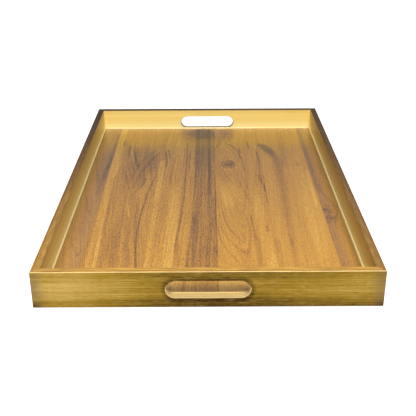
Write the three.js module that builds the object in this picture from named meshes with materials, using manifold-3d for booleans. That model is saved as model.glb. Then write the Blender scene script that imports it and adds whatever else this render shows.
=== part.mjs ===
// Wooden serving tray with a walnut floor, in millimetres, +Z up.
// The origin is the middle of the tray, on the plane that its four felt pads stand on.
// X runs along the short walls, which have the hand slots. Y runs along the long walls.
import * as THREE from 'three';
import { mergeVertices } from 'three/addons/utils/BufferGeometryUtils.js';
import Module from 'manifold-3d';

const wasm = await Module();
wasm.setup();

// ---- Driving dimensions ----
const trayWidth = 400;        // outside, along X
const trayDepth = 600;        // outside, along Y
const trayHeight = 48;        // from the table to the rim
const wallThick = 10;
const wallBottom = 1.5;       // the pads hold the walls this far off the table

const outerEase = 1.2;        // rounded edge between the rim and the outside
const innerEase = 0.8;        // rounded edge between the rim and the inside
const bottomEase = 0.8;       // rounded edges under the wall
const mitreGap = 0.1;         // each wall stops this short of the mitre plane

const floorTop = 12.5;        // upper face of the walnut
const panelThick = 6;
const veneerThick = 0.6;
const glueLine = 0.05;        // thickness of glue between two layers
const grooveDepth = 5;        // the panel is housed this deep in the walls
const grooveSlack = 0.15;     // room above and below the panel in its groove
const panelSlack = 0.5;       // room beyond the panel's edge in its groove

const slotLength = 95.5;      // hand slot, end to end
const slotHeight = 21.5;
const slotCentreZ = 24.7;
const slotRim = 1.5;          // width of the eased rim around the slot

const beadWidth = 2;          // moulding in the corner of floor and wall
const beadHeight = 2.6;
const beadFoot = 0.6;         // upright part of the bead, next to the floor

const splineThick = 2.5;      // loose tongue hidden in each mitre
const splineWidth = 7;
const splineBottom = 16;
const splineTop = 44;
const splineSlack = 0.3;

const padRadius = 4;
const padFromMiddle = 250;    // distance of each pad from the tray's middle, along Y

// Seams between the walnut leaves, from left to right.
const leafSeams = [-157.5, -80, 12.5, 88, 163.5];
const leafNames = ['far_left', 'left', 'mid_left', 'mid_right', 'right', 'far_right'];
const seamGap = 0.1;

// ---- Values that follow from them ----
const panelWidth = trayWidth - 2 * (wallThick - grooveDepth + panelSlack);
const panelDepth = trayDepth - 2 * (wallThick - grooveDepth + panelSlack);
const panelBottom = floorTop - panelThick;
const grooveTop = floorTop + grooveSlack;
const grooveBottom = panelBottom - grooveSlack;
const beadBottom = floorTop + glueLine;
const quarterTurn = Math.PI / 2;
const arcSteps = 5;           // straight steps in a small rounded edge
const slotSteps = 16;         // straight steps in the round end of a slot
const cutterReach = 5;        // how far a cutter runs past the face that it cuts

// ---- Finishes ----
function finish(colour, roughness) {
  return new THREE.MeshStandardMaterial({ color: colour, roughness: roughness, metalness: 0 });
}

const wallFinish = () => finish(0xb08a3c, 0.4);
const beadFinish = () => finish(0xe2c07e, 0.4);
const walnutFinish = (colour) => finish(colour, 0.35);
const plyFinish = () => finish(0xd2b487, 0.7);
const backingFinish = () => finish(0x9a7443, 0.6);
const splineFinish = () => finish(0xdcbf8f, 0.6);
const feltFinish = () => finish(0x4a4038, 0.95);
const walnutColours = [0x9d7a4c, 0xb98d4a, 0x8a6a45, 0xbf9450, 0xc39a58, 0x947049];

// ---- Solid cutting ----
function toSolid(geometry) {
  const bare = geometry.clone();
  bare.deleteAttribute('normal');
  bare.deleteAttribute('uv');
  const merged = mergeVertices(bare, 1e-5);
  return new wasm.Manifold(new wasm.Mesh({
    numProp: 3,
    vertProperties: new Float32Array(merged.attributes.position.array),
    triVerts: new Uint32Array(merged.index.array),
  }));
}

function toGeometry(solid) {
  const mesh = solid.getMesh();
  const geometry = new THREE.BufferGeometry();
  geometry.setAttribute('position', new THREE.BufferAttribute(new Float32Array(mesh.vertProperties), 3));
  geometry.setIndex(new THREE.BufferAttribute(new Uint32Array(mesh.triVerts), 1));
  geometry.computeVertexNormals();
  return geometry;
}

// ---- Bars: a section drawn as (distance inwards, height), run along X, and mitred ----
// A bar is made as if for the front of the tray, with its outside face at y = -outside.
function extrudeAlongX(section, length, outside) {
  const bar = new THREE.ExtrudeGeometry(section, {
    depth: length,
    steps: 1,
    curveSegments: arcSteps,
    bevelEnabled: false,
  });
  const inwards = new THREE.Vector3(0, 1, 0);
  const up = new THREE.Vector3(0, 0, 1);
  const along = new THREE.Vector3(1, 0, 0);
  bar.applyMatrix4(new THREE.Matrix4().makeBasis(inwards, up, along));
  bar.translate(-length / 2, -outside, 0);
  return bar;
}

function mitrePrism(length, outside, inwardReach) {
  const outline = new THREE.Shape();
  const halfAtFace = length / 2 - mitreGap;
  const first = -cutterReach;
  outline.moveTo(-halfAtFace + first, first);
  outline.lineTo(halfAtFace - first, first);
  outline.lineTo(halfAtFace - inwardReach, inwardReach);
  outline.lineTo(-halfAtFace + inwardReach, inwardReach);
  outline.closePath();
  const prism = new THREE.ExtrudeGeometry(outline, {
    depth: trayHeight + 2 * cutterReach,
    steps: 1,
    bevelEnabled: false,
  });
  prism.translate(0, -outside, -cutterReach);
  return prism;
}

function mitredBar(section, length, outside, inwardReach) {
  const bar = toSolid(extrudeAlongX(section, length, outside));
  return bar.intersect(toSolid(mitrePrism(length, outside, inwardReach)));
}

// ---- Wall ----
function wallSection() {
  const section = new THREE.Shape();
  const low = wallBottom + bottomEase;
  section.absarc(bottomEase, low, bottomEase, Math.PI, 1.5 * Math.PI);
  section.absarc(wallThick - bottomEase, low, bottomEase, 1.5 * Math.PI, 2 * Math.PI);
  section.lineTo(wallThick, grooveBottom);
  section.lineTo(wallThick - grooveDepth, grooveBottom);
  section.lineTo(wallThick - grooveDepth, grooveTop);
  section.lineTo(wallThick, grooveTop);
  section.absarc(wallThick - innerEase, trayHeight - innerEase, innerEase, 0, quarterTurn);
  section.absarc(outerEase, trayHeight - outerEase, outerEase, quarterTurn, Math.PI);
  section.closePath();
  return section;
}

function stadium(length, height) {
  const radius = height / 2;
  const straight = (length - height) / 2;
  const outline = new THREE.Shape();
  outline.absarc(straight, 0, radius, -quarterTurn, quarterTurn);
  outline.absarc(-straight, 0, radius, quarterTurn, 3 * quarterTurn);
  outline.closePath();
  return outline;
}

// The hand slot is a straight cut through the wall, flared at 45 degrees at both faces.
function slotCutter(outside) {
  const through = new THREE.ExtrudeGeometry(stadium(slotLength, slotHeight), {
    depth: wallThick + 2 * cutterReach,
    curveSegments: slotSteps,
    bevelEnabled: false,
  });
  through.rotateX(quarterTurn);
  through.translate(0, -outside + wallThick + cutterReach, slotCentreZ);

  const inset = 0.2;          // the flare starts inside the straight cut, clear of its surface
  const flare = new THREE.ExtrudeGeometry(stadium(slotLength - 2 * inset, slotHeight - 2 * inset), {
    depth: cutterReach,
    curveSegments: slotSteps,
    bevelEnabled: true,
    bevelThickness: slotRim + inset,
    bevelSize: slotRim + inset,
    bevelSegments: 1,
  });
  const outerFlare = flare.clone();
  outerFlare.rotateX(quarterTurn);
  outerFlare.translate(0, -outside, slotCentreZ);
  const innerFlare = flare.clone();
  innerFlare.rotateX(-quarterTurn);
  innerFlare.translate(0, -outside + wallThick, slotCentreZ);
  return toSolid(through).add(toSolid(outerFlare)).add(toSolid(innerFlare));
}

function splineBlock(slack) {
  return new THREE.BoxGeometry(
    splineWidth + 2 * slack,
    splineThick + 2 * slack,
    splineTop - splineBottom + 2 * slack,
  );
}

function splinePocket(endX, outside, turn) {
  const pocket = splineBlock(splineSlack);
  pocket.rotateZ(turn);
  pocket.translate(endX, -outside + wallThick / 2, (splineBottom + splineTop) / 2);
  return toSolid(pocket);
}

function wallGeometry(length, outside, hasSlot) {
  const endX = length / 2 - wallThick / 2;
  let solid = mitredBar(wallSection(), length, outside, wallThick + cutterReach);
  solid = solid.subtract(splinePocket(-endX, outside, -quarterTurn / 2));
  solid = solid.subtract(splinePocket(endX, outside, quarterTurn / 2));
  if (hasSlot) {
    solid = solid.subtract(slotCutter(outside));
  }
  return toGeometry(solid);
}

// ---- Bead ----
function beadSection() {
  const section = new THREE.Shape();
  const back = wallThick + glueLine;
  const foot = beadBottom + beadFoot;
  section.moveTo(back, beadBottom);
  section.lineTo(back + beadWidth, beadBottom);
  section.absellipse(back, foot, beadWidth, beadHeight - beadFoot, 0, quarterTurn);
  section.closePath();
  return section;
}

function beadGeometry(length, outside) {
  return toGeometry(mitredBar(beadSection(), length, outside, wallThick + beadWidth + cutterReach));
}

// ---- Assembly ----
const tray = new THREE.Group();

function place(parent, name, geometry, material) {
  const mesh = new THREE.Mesh(geometry, material);
  mesh.name = name;
  parent.add(mesh);
  return mesh;
}

// Each side is built as a front, then turned about the tray's middle.
const sides = [
  { name: 'front', length: trayWidth, outside: trayDepth / 2, hasSlot: true },
  { name: 'right', length: trayDepth, outside: trayWidth / 2, hasSlot: false },
  { name: 'back', length: trayWidth, outside: trayDepth / 2, hasSlot: true },
  { name: 'left', length: trayDepth, outside: trayWidth / 2, hasSlot: false },
];
sides.forEach((side, turns) => {
  const group = new THREE.Group();
  group.rotation.z = turns * quarterTurn;
  place(group, `${side.name}_wall`, wallGeometry(side.length, side.outside, side.hasSlot), wallFinish());
  place(group, `${side.name}_bead`, beadGeometry(side.length, side.outside), beadFinish());
  tray.add(group);
});

// Loose tongues across the four mitres, and felt pads under the long walls.
for (const [endName, endSign] of [['front', -1], ['back', 1]]) {
  for (const [sideName, sideSign] of [['left', -1], ['right', 1]]) {
    const corner = `${endName}_${sideName}`;
    const spline = place(tray, `${corner}_corner_spline`, splineBlock(0), splineFinish());
    spline.position.set(
      sideSign * (trayWidth - wallThick) / 2,
      endSign * (trayDepth - wallThick) / 2,
      (splineBottom + splineTop) / 2,
    );
    spline.rotation.z = -sideSign * endSign * quarterTurn / 2;

    const padHeight = wallBottom - glueLine;
    const padGeometry = new THREE.CylinderGeometry(padRadius, padRadius, padHeight, 24);
    const pad = place(tray, `${corner}_felt_pad`, padGeometry, feltFinish());
    pad.rotation.x = quarterTurn;
    pad.position.set(sideSign * (trayWidth - wallThick) / 2, endSign * padFromMiddle, padHeight / 2);
  }
}

// Floor panel: backing veneer, plywood core and the walnut leaves on top.
const coreBottom = panelBottom + veneerThick + glueLine;
const coreTop = floorTop - veneerThick - glueLine;

function layer(name, width, middleX, bottom, top, material) {
  const mesh = place(tray, name, new THREE.BoxGeometry(width, panelDepth, top - bottom), material);
  mesh.position.set(middleX, 0, (bottom + top) / 2);
}

layer('backing_veneer', panelWidth, 0, panelBottom, panelBottom + veneerThick, backingFinish());
layer('plywood_core', panelWidth, 0, coreBottom, coreTop, plyFinish());

const leafEdges = [-panelWidth / 2, ...leafSeams, panelWidth / 2];
leafNames.forEach((leafName, index) => {
  const left = leafEdges[index] + (index > 0 ? seamGap / 2 : 0);
  const right = leafEdges[index + 1] - (index < leafSeams.length ? seamGap / 2 : 0);
  layer(`walnut_leaf_${leafName}`, right - left, (left + right) / 2, floorTop - veneerThick, floorTop,
    walnutFinish(walnutColours[index]));
});

export default tray;
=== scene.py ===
# %% [markdown]
# # A wooden serving tray
# The real tray is joinery: four walls with a brass-gold stain meet in mitres, a walnut-faced panel sits in a
# groove around them, and a slim bead covers the joint of panel and walls. Two walls have a hand slot.
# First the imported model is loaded, as the frame that every size and place comes from.

# %% Load the frame
import math

import bmesh
import bpy
from mathutils import Matrix, Vector


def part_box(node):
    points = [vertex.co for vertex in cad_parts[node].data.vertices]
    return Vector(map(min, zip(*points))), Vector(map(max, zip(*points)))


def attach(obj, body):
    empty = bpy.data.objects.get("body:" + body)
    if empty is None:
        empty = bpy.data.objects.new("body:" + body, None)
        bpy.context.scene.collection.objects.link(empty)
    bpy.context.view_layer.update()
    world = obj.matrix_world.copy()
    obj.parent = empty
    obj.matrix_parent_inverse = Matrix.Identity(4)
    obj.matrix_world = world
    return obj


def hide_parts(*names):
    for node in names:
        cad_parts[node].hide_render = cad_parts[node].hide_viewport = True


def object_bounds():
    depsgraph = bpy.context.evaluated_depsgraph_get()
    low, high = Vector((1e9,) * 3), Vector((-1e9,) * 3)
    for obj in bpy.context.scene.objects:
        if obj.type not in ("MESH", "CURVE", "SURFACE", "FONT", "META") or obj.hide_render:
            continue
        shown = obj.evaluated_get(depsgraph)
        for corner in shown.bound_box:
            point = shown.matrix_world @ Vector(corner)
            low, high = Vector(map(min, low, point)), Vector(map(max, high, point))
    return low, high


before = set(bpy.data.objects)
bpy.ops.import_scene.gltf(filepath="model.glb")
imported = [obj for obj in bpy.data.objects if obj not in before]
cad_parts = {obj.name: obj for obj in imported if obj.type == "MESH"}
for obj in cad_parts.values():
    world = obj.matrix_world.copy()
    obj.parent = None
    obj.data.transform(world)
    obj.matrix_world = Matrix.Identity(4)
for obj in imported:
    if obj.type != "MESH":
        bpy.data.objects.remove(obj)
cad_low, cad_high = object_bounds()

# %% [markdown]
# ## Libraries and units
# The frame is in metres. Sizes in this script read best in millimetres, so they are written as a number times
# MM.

MM = 0.001
QUARTER_TURN = math.pi / 2
print("tray size in mm:", [round(side / MM, 1) for side in cad_high - cad_low])

# %% [markdown]
# ## Measures taken from the frame
# The walls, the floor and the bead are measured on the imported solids, so this model can't drift away from
# them. The hand slot is read from the corners of the front wall's own mesh that lie on the wall's face. They
# are the mouth of the slot, and the slot proper is smaller by the width of its eased rim.

# %% Measure the walls, floor and slot
half_width = cad_high.x
half_depth = cad_high.y
rim_z = cad_high.z
wall_low, wall_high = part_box("front_wall")
wall_bottom = wall_low.z
wall_thick = wall_high.y - wall_low.y
floor_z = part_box("walnut_leaf_left")[1].z
panel_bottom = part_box("backing_veneer")[0].z
bead_low, bead_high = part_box("front_bead")
mitre_gap = half_width - wall_high.x


def near_slot(x, z, margin):
    """Whether a point of a short wall lies in the middle third, and further than margin from its edges."""
    return abs(x) < half_width / 3 and wall_bottom + margin < z < rim_z - margin


mouth = []
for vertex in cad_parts["front_wall"].data.vertices:
    on_face = abs(vertex.co.y + half_depth) < 0.05 * MM
    if on_face and near_slot(vertex.co.x, vertex.co.z, 4 * MM):
        mouth.append((vertex.co.x, vertex.co.z))
slot_centre_z = (max(z for x, z in mouth) + min(z for x, z in mouth)) / 2
mouth_half_length = max(x for x, z in mouth)
mouth_half_height = max(z for x, z in mouth) - slot_centre_z
slot_rim = 1.5 * MM
slot_radius = mouth_half_height - slot_rim
slot_straight = mouth_half_length - mouth_half_height
slot_size = (2 * (slot_straight + slot_radius) / MM, 2 * slot_radius / MM)
print("slot in mm:", [round(side, 1) for side in slot_size])

# %% [markdown]
# ## Camera
# The tray is seen from in front of one short wall, from above. The camera stands about a metre from the
# tray's middle and looks down 25 degrees, with a short telephoto lens.

# %% Camera
camera_place = Vector((-0.84, -1014.99, 462.28)) * MM
camera_pitch = 0.43919
camera_yaw = 0.00137
camera_roll = -0.00403
camera_lens = 63.91

forward = Vector((
    math.sin(camera_yaw) * math.cos(camera_pitch),
    math.cos(camera_yaw) * math.cos(camera_pitch),
    -math.sin(camera_pitch),
))
level_right = Vector((math.cos(camera_yaw), -math.sin(camera_yaw), 0.0))
level_up = level_right.cross(forward)
right = math.cos(camera_roll) * level_right + math.sin(camera_roll) * level_up
up = -math.sin(camera_roll) * level_right + math.cos(camera_roll) * level_up

camera_data = bpy.data.cameras.new("Camera")
camera_data.lens = camera_lens
camera_data.sensor_width = 36.0
camera_data.clip_start = 0.05
camera_data.clip_end = 50.0
camera = bpy.data.objects.new("Camera", camera_data)
bpy.context.collection.objects.link(camera)
camera.matrix_world = Matrix((
    (right.x, up.x, -forward.x, camera_place.x),
    (right.y, up.y, -forward.y, camera_place.y),
    (right.z, up.z, -forward.z, camera_place.z),
    (0.0, 0.0, 0.0, 1.0),
))
bpy.context.scene.camera = camera
print("camera stands", round(camera_place.length, 3), "m from the tray's middle")

# %% [markdown]
# ## Colours
# Colours are written as the eye sees them, from 0 to 255. The renderer works with linear values, so one small
# function turns the first kind into the second.

# %% Colours
def colour(red, green, blue):
    """A display colour, 0 to 255, as the renderer's linear values."""
    channels = []
    for value in (red, green, blue):
        share = value / 255
        channels.append(share / 12.92 if share <= 0.04045 else ((share + 0.055) / 1.055) ** 2.4)
    return (*channels, 1.0)


print("a middle grey is", round(colour(128, 128, 128)[0], 3), "in linear values")

# %% [markdown]
# ## Node graphs
# A material is a graph of nodes. The class below makes a node and joins its sockets in one line, so that the
# recipes further down read like arithmetic.

# %% Node graphs
class Graph:
    """Makes and joins the nodes of one tree."""

    def __init__(self, tree):
        self.tree = tree

    def node(self, kind, **settings):
        made = self.tree.nodes.new(kind)
        for name, value in settings.items():
            setattr(made, name, value)
        return made

    def put(self, socket, value):
        """Joins a socket to another node's output, or sets it to a plain value."""
        if isinstance(value, bpy.types.NodeSocket):
            self.tree.links.new(value, socket)
        else:
            socket.default_value = value

    def calc(self, operation, *values):
        made = self.node("ShaderNodeMath", operation=operation)
        for socket, value in zip(made.inputs, values):
            self.put(socket, value)
        return made.outputs[0]

    def plus(self, first, second):
        return self.calc("ADD", first, second)

    def minus(self, first, second):
        return self.calc("SUBTRACT", first, second)

    def times(self, first, second):
        return self.calc("MULTIPLY", first, second)

    def over(self, first, second):
        return self.calc("DIVIDE", first, second)

    def squares(self, first, second):
        """The sum of two squares."""
        return self.plus(self.times(first, first), self.times(second, second))

    def lay(self, value, mask, depth):
        """Adds depth to a value where a mask is 1."""
        return self.calc("MULTIPLY_ADD", mask, depth, value)

    def vary(self, value, layer, share):
        """Moves a value up and down with a layer of noise, which lies around a half."""
        return self.lay(value, self.minus(layer, 0.5), share)

    def fade(self, value, low, high, at_low=0.0, at_high=1.0):
        """A soft step: at_low below low, at_high above high, and smooth in between."""
        made = self.node("ShaderNodeMapRange", interpolation_type="SMOOTHSTEP")
        for socket, number in zip(made.inputs, (value, low, high, at_low, at_high)):
            self.put(socket, number)
        return made.outputs[0]

    def left_right(self, x, at_left, at_right):
        """One value on the left of the tray and another on the right, blended around its middle."""
        return self.fade(x, -50.0, 50.0, at_left, at_right)

    def mix(self, share, first, second):
        """A colour between first, at share 0, and second, at share 1."""
        made = self.node("ShaderNodeMix", data_type="RGBA")
        self.put(made.inputs[0], share)
        self.put(made.inputs[6], first)
        self.put(made.inputs[7], second)
        return made.outputs[2]

    def ramp(self, value, stops):
        """The colour that a row of (position, colour) stops has at a value."""
        made = self.node("ShaderNodeValToRGB")
        elements = made.color_ramp.elements
        while len(elements) < len(stops):
            elements.new(0.5)
        for element, (position, shade) in zip(elements, stops):
            element.position = position
            element.color = shade
        self.put(made.inputs[0], value)
        return made.outputs[0]

    def noise(self, places, sizes=(1, 1, 1), detail=2.0, roughness=0.5):
        """Noise over three coordinates. sizes are the lengths of one blotch along each of them."""
        point = self.node("ShaderNodeCombineXYZ")
        for socket, value, size in zip(point.inputs, places, sizes):
            self.put(socket, value if size == 1 else self.over(value, size))
        made = self.node("ShaderNodeTexNoise", noise_dimensions="3D")
        self.put(made.inputs["Vector"], point.outputs[0])
        made.inputs["Scale"].default_value = 1.0
        made.inputs["Detail"].default_value = detail
        made.inputs["Roughness"].default_value = roughness
        return made.outputs["Fac"]

    def place(self, group, **values):
        """Places a node group. A keyword's underscores stand for the spaces in a socket's name."""
        made = self.node("ShaderNodeGroup")
        made.node_tree = group
        for name, value in values.items():
            self.put(made.inputs[name.replace("_", " ")], value)
        return made.outputs


# %% [markdown]
# ## Empty groups and materials
# A recipe that several finishes share becomes a node group, which is built once and placed in each of them. A
# material starts as a Principled shader whose even, all-over values are set on the shader itself, and fine
# relief reaches it as bump.

# %% Groups, materials and bump
def new_group(name, inputs, outputs):
    """An empty node group with number sockets. inputs gives each input's name and usual value."""
    tree = bpy.data.node_groups.new(name, "ShaderNodeTree")
    for socket_name, usual in inputs.items():
        socket = tree.interface.new_socket(socket_name, in_out="INPUT", socket_type="NodeSocketFloat")
        socket.default_value = usual
    for socket_name in outputs:
        tree.interface.new_socket(socket_name, in_out="OUTPUT", socket_type="NodeSocketFloat")
    graph = Graph(tree)
    return tree, graph, graph.node("NodeGroupInput").outputs, graph.node("NodeGroupOutput").inputs


def new_material(name, **surface):
    """A material with a Principled shader. surface gives the shader's even, all-over values."""
    material = bpy.data.materials.new(name)
    material.use_nodes = True
    shader = material.node_tree.nodes["Principled BSDF"]
    for socket_name, value in surface.items():
        shader.inputs[socket_name.replace("_", " ")].default_value = value
    return material, Graph(material.node_tree), shader.inputs


def add_bump(graph, shader, height, distance, strength):
    """Lets a height, 0 to 1, stand distance metres proud of the surface."""
    bump = graph.node("ShaderNodeBump")
    bump.inputs["Strength"].default_value = strength
    bump.inputs["Distance"].default_value = distance
    graph.put(bump.inputs["Height"], height)
    graph.put(shader["Normal"], bump.outputs[0])


def tell(made):
    """Prints how many nodes a group or a material has."""
    tree = made.node_tree if hasattr(made, "node_tree") else made
    print(made.name, "nodes:", len(tree.nodes))


# %% [markdown]
# ## Where a point of the tray is
# Every finish here depends on a place on the tray: the stain is smoky at the ends of a wall, and the walnut's
# figure runs front to back. This group gives the place in millimetres. It also says how far a point is from
# the outside of the frame, how far along its own wall it is, and how far from that wall's end.

# %% Group: place on the tray
place_group, g, _, out = new_group(
    "Place on the tray", {}, ["X", "Y", "Z", "Inwards", "Along", "From end", "On long wall"])
split = g.node("ShaderNodeSeparateXYZ")
g.put(split.inputs[0], g.node("ShaderNodeTexCoord").outputs["Object"])
place_x, place_y, place_z = (g.times(axis, 1 / MM) for axis in split.outputs)
from_side = g.minus(half_width / MM, g.calc("ABSOLUTE", place_x))
from_front_or_back = g.minus(half_depth / MM, g.calc("ABSOLUTE", place_y))
on_long = g.calc("LESS_THAN", from_side, from_front_or_back)
g.put(out["X"], place_x)
g.put(out["Y"], place_y)
g.put(out["Z"], place_z)
g.put(out["Inwards"], g.calc("MINIMUM", from_side, from_front_or_back))
g.put(out["From end"], g.calc("MAXIMUM", from_side, from_front_or_back))
g.put(out["On long wall"], on_long)
g.put(out["Along"], g.plus(g.times(place_y, on_long), g.times(place_x, g.minus(1.0, on_long))))
tell(place_group)

# %% [markdown]
# ## Wood grain
# Grain is noise that is stretched a long way down the board and squeezed across it. Broad streaks of growth
# and fine lines come from one stretched noise each. The pores are short dark dashes, kept only where a third
# noise peaks, and the flecks are the small bright marks where the saw cuts across a ray.

# %% Group: wood grain
grain_group, g, given, out = new_group(
    "Wood grain",
    {"Across": 0.0, "Along": 0.0, "Other": 0.0, "Line width": 2.0, "Line length": 120.0,
     "Pore width": 0.8, "Pore length": 7.0},
    ["Streaks", "Lines", "Pores", "Flecks"])
point = (given["Across"], given["Along"], given["Other"])
across = g.over(given["Across"], given["Line width"])
along = g.over(given["Along"], given["Line length"])
g.put(out["Lines"], g.noise((across, along, given["Other"]), detail=3.0, roughness=0.65))
g.put(out["Streaks"], g.noise((g.times(across, 0.2), g.times(along, 0.4), given["Other"])))
pore_noise = g.noise(point, (given["Pore width"], given["Pore length"], 1), 1.0)
g.put(out["Pores"], g.fade(pore_noise, 0.52, 0.68))
g.put(out["Flecks"], g.noise(point, (1.3, 2.4, 1), 1.0))
tell(grain_group)

# %% [markdown]
# ## Growth rings
# A board is a flat cut through rings that narrow towards the top of the tree, so its lines are hyperbolas:
# nested arches over the heart, and nearly straight lines away from it. The group turns a place on the board
# into its distance from the heart of the log, and grain that is drawn over this distance follows the arches.

# %% Group: growth rings
rings_group, g, given, out = new_group(
    "Growth rings",
    {"Across": 0.0, "Along": 0.0, "Heart": 0.0, "Roundness": 6.0, "Rise": 0.1, "Lean": 0.0,
     "Wander": 8.0, "Seed": 0.0},
    ["Level"])
off_heart = g.minus(given["Across"], given["Heart"])
rounded = g.calc("SQRT", g.squares(off_heart, given["Roundness"]))
level = g.lay(rounded, off_heart, given["Lean"])
level = g.minus(level, g.times(given["Rise"], given["Along"]))
wander = g.noise((given["Across"], given["Along"], given["Seed"]), (34.0, 95.0, 1))
g.put(out["Level"], g.vary(level, wander, given["Wander"]))
tell(rings_group)

# %% [markdown]
# ## A drawn streak
# Walnut has single features that noise doesn't give: a dark vein, a pale sap line, a mineral streak. Each one
# is a soft-edged line from one place along the board to another, with a bow in the middle and a little
# wander. It fades out past both of its ends.

# %% Group: drawn streak
streak_group, g, given, out = new_group(
    "Drawn streak",
    {"Across": 0.0, "Along": 0.0, "From": -300.0, "To": 300.0, "Start": 0.0, "End": 0.0, "Bow": 0.0,
     "Width": 4.0, "Softness": 2.0, "Wander": 1.0, "Fade length": 20.0},
    ["Mask"])
share = g.over(g.minus(given["Along"], given["From"]), g.minus(given["To"], given["From"]))
rest = g.minus(1.0, share)
middle = g.plus(g.times(given["Start"], rest), g.times(given["End"], share))
bow = g.times(given["Bow"], g.times(4.0, g.times(share, rest)))
wander = g.minus(g.noise((given["Along"], given["Start"], 0.0), (45.0, 1, 1)), 0.5)
middle = g.plus(middle, g.plus(bow, g.times(wander, given["Wander"])))
offset = g.calc("ABSOLUTE", g.minus(given["Across"], middle))
edge = g.times(given["Width"], 0.5)
line = g.fade(offset, edge, g.plus(edge, given["Softness"]), 1.0, 0.0)
begins = g.fade(given["Along"], g.minus(given["From"], given["Fade length"]), given["From"])
ends = g.fade(given["Along"], given["To"], g.plus(given["To"], given["Fade length"]), 1.0, 0.0)
g.put(out["Mask"], g.times(line, g.times(begins, ends)))
tell(streak_group)

# %% [markdown]
# ## A soft patch
# Colour in walnut also comes in clouds. A patch is an ellipse with a blurred rim, and it can slant across the
# board.

# %% Group: soft patch
patch_group, g, given, out = new_group(
    "Soft patch",
    {"Across": 0.0, "Along": 0.0, "Centre across": 0.0, "Centre along": 0.0, "Half width": 10.0,
     "Half length": 30.0, "Slant": 0.0},
    ["Mask"])
off_along = g.minus(given["Along"], given["Centre along"])
off_across = g.minus(given["Across"], given["Centre across"])
off_across = g.minus(off_across, g.times(off_along, given["Slant"]))
across_share = g.over(off_across, given["Half width"])
along_share = g.over(off_along, given["Half length"])
g.put(out["Mask"], g.fade(g.squares(across_share, along_share), 0.1, 1.1, 1.0, 0.0))
tell(patch_group)

# %% [markdown]
# ## A knot
# Around a knot the grain is pushed aside, and the knot itself is dark with rings. The group gives back the
# coordinate across the board with that push in it, so any grain that is drawn with it flows around the knot.

# %% Group: knot
knot_group, g, given, out = new_group(
    "Knot",
    {"Across": 0.0, "Along": 0.0, "Centre across": 0.0, "Centre along": 0.0, "Half width": 4.0,
     "Half length": 12.0, "Push": 0.8},
    ["Across", "Core", "Rings"])
off_across = g.minus(given["Across"], given["Centre across"])
off_along = g.minus(given["Along"], given["Centre along"])
scaled_across = g.over(off_across, given["Half width"])
scaled_along = g.over(off_along, given["Half length"])
distance = g.calc("SQRT", g.squares(scaled_across, scaled_along))
near = g.fade(distance, 0.2, 3.0, 1.0, 0.0)
pushed = g.times(off_across, g.times(near, given["Push"]))
g.put(out["Across"], g.minus(given["Across"], pushed))
g.put(out["Core"], g.fade(distance, 0.25, 1.1, 1.0, 0.0))
ring_wave = g.calc("SINE", g.times(distance, 9.0))
g.put(out["Rings"], g.times(g.fade(ring_wave, 0.2, 0.9), g.fade(distance, 1.4, 2.4, 1.0, 0.0)))
tell(knot_group)

# %% [markdown]
# ## Walnut
# The floor is six leaves of walnut, laid side by side. Every leaf shares one recipe: lines, streaks and pores
# over the growth rings set a tone between dark heartwood and pale gold, and the drawn streaks and knots of
# that leaf are added to the tone. A satin lacquer lies over it and softly mirrors the walls around it.
#
# Some light and shade is painted into the whole floor. Next to the walls, except at the back, the walnut is
# darkened as painted shade and mixed with olive gold as a painted reflection of the walls. Towards the back
# this olive gold painted reflection grows, and right at the back wall a painted reflection of the bright wall
# lifts the tone. Along the front strip, which the front wall shades, a painted light lifts the tone. Towards
# the back, where the lacquer's shine is strongest, the figure is drawn deeper.

# %% Tones and drawn shapes
front_mm = -half_depth / MM
back_mm = half_depth / MM
rim_mm = rim_z / MM
inner_mm = wall_thick / MM
WALNUT_TONES = (
    (0.00, colour(74, 44, 18)),
    (0.30, colour(130, 87, 42)),
    (0.60, colour(191, 131, 40)),
    (0.85, colour(220, 160, 50)),
    (1.00, colour(236, 186, 84)),
)
SHAPES = {
    "streak": (streak_group, (
        "From", "To", "Start", "End", "Bow", "Width", "Softness", "Wander", "Fade length")),
    "patch": (patch_group, ("Centre across", "Centre along", "Half width", "Half length", "Slant")),
    "knot": (knot_group, ("Centre across", "Centre along", "Half width", "Half length", "Push")),
    "rings": (rings_group, ("Heart", "Roundness", "Rise", "Lean", "Wander", "Seed")),
}
print("kinds of drawn shape:", list(SHAPES))

# %% [markdown]
# ## The walnut recipe
# A leaf is described by its tone at the front and at the back, by its growth rings and by its drawn shapes. A
# knot also bends the coordinate across the board, so the shapes and the grain after it flow around it.

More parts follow.
